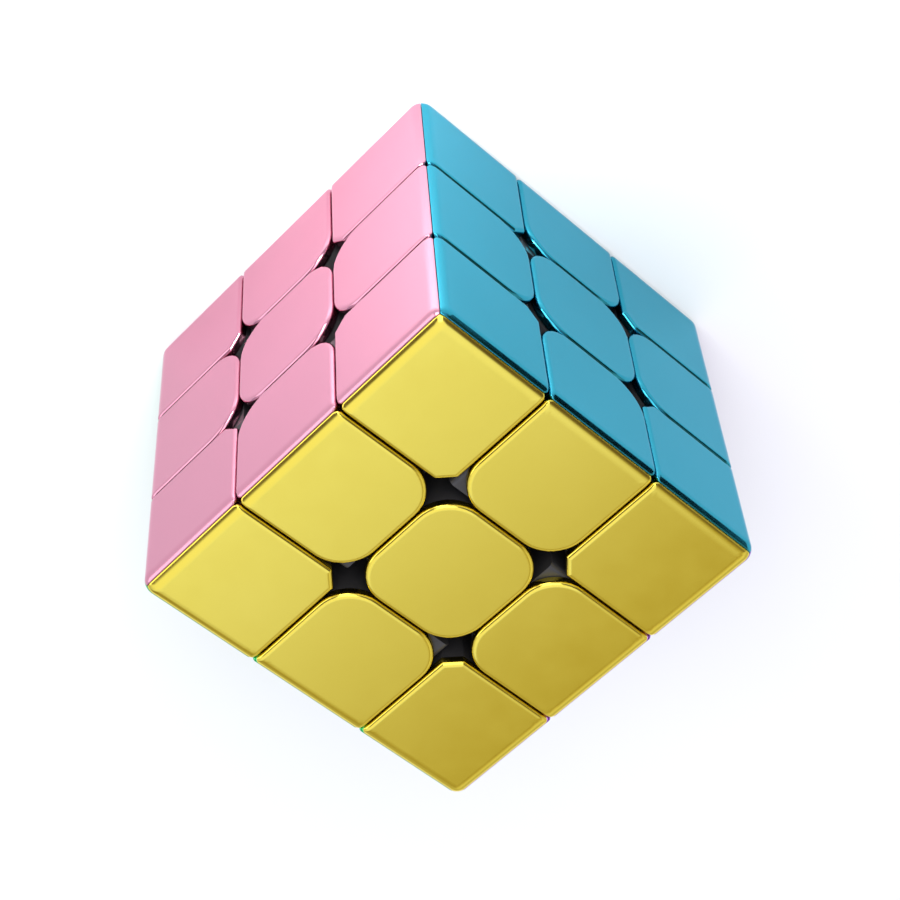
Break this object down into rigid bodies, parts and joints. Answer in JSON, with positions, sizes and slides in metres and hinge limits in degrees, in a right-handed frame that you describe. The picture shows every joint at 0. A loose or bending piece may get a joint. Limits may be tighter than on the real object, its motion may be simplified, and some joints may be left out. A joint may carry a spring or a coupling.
{
  "type": "twisty puzzle cube",
  "caption": "Twisty puzzle cube with plated colour caps on black bases; every face turns about its own axis on a screwed, sprung spider.",
  "frame": {"origin": "centre of the cube, where the six turning axes meet", "axes": "+Z out of the gold (up) face, -Y out of the light blue (front) face, +X out of the pink (right) face"},
  "size_m": [0.057, 0.057, 0.057],
  "materials": {
    "gold_cap": "vacuum-plated, smooth metallic gold",
    "blue_cap": "vacuum-plated, smooth metallic light blue",
    "pink_cap": "vacuum-plated, smooth metallic pink",
    "silver_cap": "vacuum-plated, smooth metallic silver",
    "green_cap": "vacuum-plated, smooth metallic green",
    "purple_cap": "vacuum-plated, smooth metallic purple",
    "black_plastic": "moulded, glossy",
    "core_plastic": "moulded, satin",
    "steel": "zinc-plated"
  },
  "bodies": {
    "core": {"core_spider": "core_plastic", "centre_screws": "steel", "centre_springs": "steel", "centre_washers": "steel"},
    "centre_up": {"centre_up_base": "black_plastic", "centre_up_cap": "gold_cap"},
    "centre_down": {"centre_down_base": "black_plastic", "centre_down_cap": "silver_cap"},
    "centre_front": {"centre_front_base": "black_plastic", "centre_front_cap": "blue_cap"},
    "centre_back": {"centre_back_base": "black_plastic", "centre_back_cap": "green_cap"},
    "centre_right": {"centre_right_base": "black_plastic", "centre_right_cap": "pink_cap"},
    "centre_left": {"centre_left_base": "black_plastic", "centre_left_cap": "purple_cap"},
    "edge_up_front": {"edge_up_front_base": "black_plastic", "edge_up_front_caps": "gold_cap"},
    "edge_up_back": {"edge_up_back_base": "black_plastic", "edge_up_back_caps": "gold_cap"},
    "edge_up_right": {"edge_up_right_base": "black_plastic", "edge_up_right_caps": "gold_cap"},
    "edge_up_left": {"edge_up_left_base": "black_plastic", "edge_up_left_caps": "gold_cap"},
    "edge_down_front": {"edge_down_front_base": "black_plastic", "edge_down_front_caps": "silver_cap"},
    "edge_down_back": {"edge_down_back_base": "black_plastic", "edge_down_back_caps": "silver_cap"},
    "edge_down_right": {"edge_down_right_base": "black_plastic", "edge_down_right_caps": "silver_cap"},
    "edge_down_left": {"edge_down_left_base": "black_plastic", "edge_down_left_caps": "silver_cap"},
    "edge_front_right": {"edge_front_right_base": "black_plastic", "edge_front_right_caps": "blue_cap"},
    "edge_front_left": {"edge_front_left_base": "black_plastic", "edge_front_left_caps": "blue_cap"},
    "edge_back_right": {"edge_back_right_base": "black_plastic", "edge_back_right_caps": "green_cap"},
    "edge_back_left": {"edge_back_left_base": "black_plastic", "edge_back_left_caps": "green_cap"},
    "corner_up_front_right": {"corner_up_front_right_base": "black_plastic", "corner_up_front_right_caps": "gold_cap"},
    "corner_up_front_left": {"corner_up_front_left_base": "black_plastic", "corner_up_front_left_caps": "gold_cap"},
    "corner_up_back_right": {"corner_up_back_right_base": "black_plastic", "corner_up_back_right_caps": "gold_cap"},
    "corner_up_back_left": {"corner_up_back_left_base": "black_plastic", "corner_up_back_left_caps": "gold_cap"},
    "corner_down_front_right": {"corner_down_front_right_base": "black_plastic", "corner_down_front_right_caps": "silver_cap"},
    "corner_down_front_left": {"corner_down_front_left_base": "black_plastic", "corner_down_front_left_caps": "silver_cap"},
    "corner_down_back_right": {"corner_down_back_right_base": "black_plastic", "corner_down_back_right_caps": "silver_cap"},
    "corner_down_back_left": {"corner_down_back_left_base": "black_plastic", "corner_down_back_left_caps": "silver_cap"}
  },
  "joints": [
    {"name": "up_turn", "type": "hinge", "parent": "core", "child": "centre_up", "pos_m": [0, 0, 0], "axis": [0, 0, 1], "continuous": true},
    {"name": "down_turn", "type": "hinge", "parent": "core", "child": "centre_down", "pos_m": [0, 0, 0], "axis": [0, 0, -1], "continuous": true},
    {"name": "front_turn", "type": "hinge", "parent": "core", "child": "centre_front", "pos_m": [0, 0, 0], "axis": [0, -1, 0], "continuous": true},
    {"name": "back_turn", "type": "hinge", "parent": "core", "child": "centre_back", "pos_m": [0, 0, 0], "axis": [0, 1, 0], "continuous": true},
    {"name": "right_turn", "type": "hinge", "parent": "core", "child": "centre_right", "pos_m": [0, 0, 0], "axis": [1, 0, 0], "continuous": true},
    {"name": "left_turn", "type": "hinge", "parent": "core", "child": "centre_left", "pos_m": [0, 0, 0], "axis": [-1, 0, 0], "continuous": true},
    {"name": "edge_down_back_turn", "type": "hinge", "parent": "centre_back", "child": "edge_down_back", "pos_m": [0, 0, 0], "axis": [0, 0, -1], "continuous": true},
    {"name": "edge_back_left_turn", "type": "hinge", "parent": "centre_back", "child": "edge_back_left", "pos_m": [0, 0, 0], "axis": [-1, 0, 0], "continuous": true},
    {"name": "edge_down_front_turn", "type": "hinge", "parent": "centre_front", "child": "edge_down_front", "pos_m": [0, 0, 0], "axis": [0, 0, -1], "continuous": true},
    {"name": "edge_front_right_turn", "type": "hinge", "parent": "centre_front", "child": "edge_front_right", "pos_m": [0, 0, 0], "axis": [1, 0, 0], "continuous": true},
    {"name": "edge_down_left_turn", "type": "hinge", "parent": "centre_left", "child": "edge_down_left", "pos_m": [0, 0, 0], "axis": [0, 0, -1], "continuous": true},
    {"name": "edge_front_left_turn", "type": "hinge", "parent": "centre_left", "child": "edge_front_left", "pos_m": [0, 0, 0], "axis": [0, -1, 0], "continuous": true},
    {"name": "edge_back_right_turn", "type": "hinge", "parent": "centre_right", "child": "edge_back_right", "pos_m": [0, 0, 0], "axis": [0, 1, 0], "continuous": true},
    {"name": "edge_down_right_turn", "type": "hinge", "parent": "centre_right", "child": "edge_down_right", "pos_m": [0, 0, 0], "axis": [0, 0, -1], "continuous": true},
    {"name": "edge_up_back_turn", "type": "hinge", "parent": "centre_up", "child": "edge_up_back", "pos_m": [0, 0, 0], "axis": [0, 1, 0], "continuous": true},
    {"name": "edge_up_front_turn", "type": "hinge", "parent": "centre_up", "child": "edge_up_front", "pos_m": [0, 0, 0], "axis": [0, -1, 0], "continuous": true},
    {"name": "edge_up_left_turn", "type": "hinge", "parent": "centre_up", "child": "edge_up_left", "pos_m": [0, 0, 0], "axis": [-1, 0, 0], "continuous": true},
    {"name": "edge_up_right_turn", "type": "hinge", "parent": "centre_up", "child": "edge_up_right", "pos_m": [0, 0, 0], "axis": [1, 0, 0], "continuous": true},
    {"name": "corner_up_front_right_turn", "type": "hinge", "parent": "edge_up_front", "child": "corner_up_front_right", "pos_m": [0, 0, 0], "axis": [1, 0, 0], "continuous": true},
    {"name": "corner_up_front_left_turn", "type": "hinge", "parent": "edge_up_front", "child": "corner_up_front_left", "pos_m": [0, 0, 0], "axis": [-1, 0, 0], "continuous": true},
    {"name": "corner_up_back_right_turn", "type": "hinge", "parent": "edge_up_back", "child": "corner_up_back_right", "pos_m": [0, 0, 0], "axis": [1, 0, 0], "continuous": true},
    {"name": "corner_up_back_left_turn", "type": "hinge", "parent": "edge_up_back", "child": "corner_up_back_left", "pos_m": [0, 0, 0], "axis": [-1, 0, 0], "continuous": true},
    {"name": "corner_down_front_right_turn", "type": "hinge", "parent": "edge_down_front", "child": "corner_down_front_right", "pos_m": [0, 0, 0], "axis": [1, 0, 0], "continuous": true},
    {"name": "corner_down_front_left_turn", "type": "hinge", "parent": "edge_down_front", "child": "corner_down_front_left", "pos_m": [0, 0, 0], "axis": [-1, 0, 0], "continuous": true},
    {"name": "corner_down_back_right_turn", "type": "hinge", "parent": "edge_down_back", "child": "corner_down_back_right", "pos_m": [0, 0, 0], "axis": [1, 0, 0], "continuous": true},
    {"name": "corner_down_back_left_turn", "type": "hinge", "parent": "edge_down_back", "child": "corner_down_back_left", "pos_m": [0, 0, 0], "axis": [-1, 0, 0], "continuous": true}
  ],
  "couplings": [
    {"joint": "edge_down_back_turn", "follows": "down_turn", "ratio": 1},
    {"joint": "edge_back_left_turn", "follows": "left_turn", "ratio": 1},
    {"joint": "edge_down_front_turn", "follows": "down_turn", "ratio": 1},
    {"joint": "edge_front_right_turn", "follows": "right_turn", "ratio": 1},
    {"joint": "edge_down_left_turn", "follows": "down_turn", "ratio": 1},
    {"joint": "edge_front_left_turn", "follows": "front_turn", "ratio": 1},
    {"joint": "edge_back_right_turn", "follows": "back_turn", "ratio": 1},
    {"joint": "edge_down_right_turn", "follows": "down_turn", "ratio": 1},
    {"joint": "edge_up_back_turn", "follows": "back_turn", "ratio": 1},
    {"joint": "edge_up_front_turn", "follows": "front_turn", "ratio": 1},
    {"joint": "edge_up_left_turn", "follows": "left_turn", "ratio": 1},
    {"joint": "edge_up_right_turn", "follows": "right_turn", "ratio": 1},
    {"joint": "corner_up_front_right_turn", "follows": "right_turn", "ratio": 1},
    {"joint": "corner_up_front_left_turn", "follows": "left_turn", "ratio": 1},
    {"joint": "corner_up_back_right_turn", "follows": "right_turn", "ratio": 1},
    {"joint": "corner_up_back_left_turn", "follows": "left_turn", "ratio": 1},
    {"joint": "corner_down_front_right_turn", "follows": "right_turn", "ratio": 1},
    {"joint": "corner_down_front_left_turn", "follows": "left_turn", "ratio": 1},
    {"joint": "corner_down_back_right_turn", "follows": "right_turn", "ratio": 1},
    {"joint": "corner_down_back_left_turn", "follows": "left_turn", "ratio": 1}
  ]
}
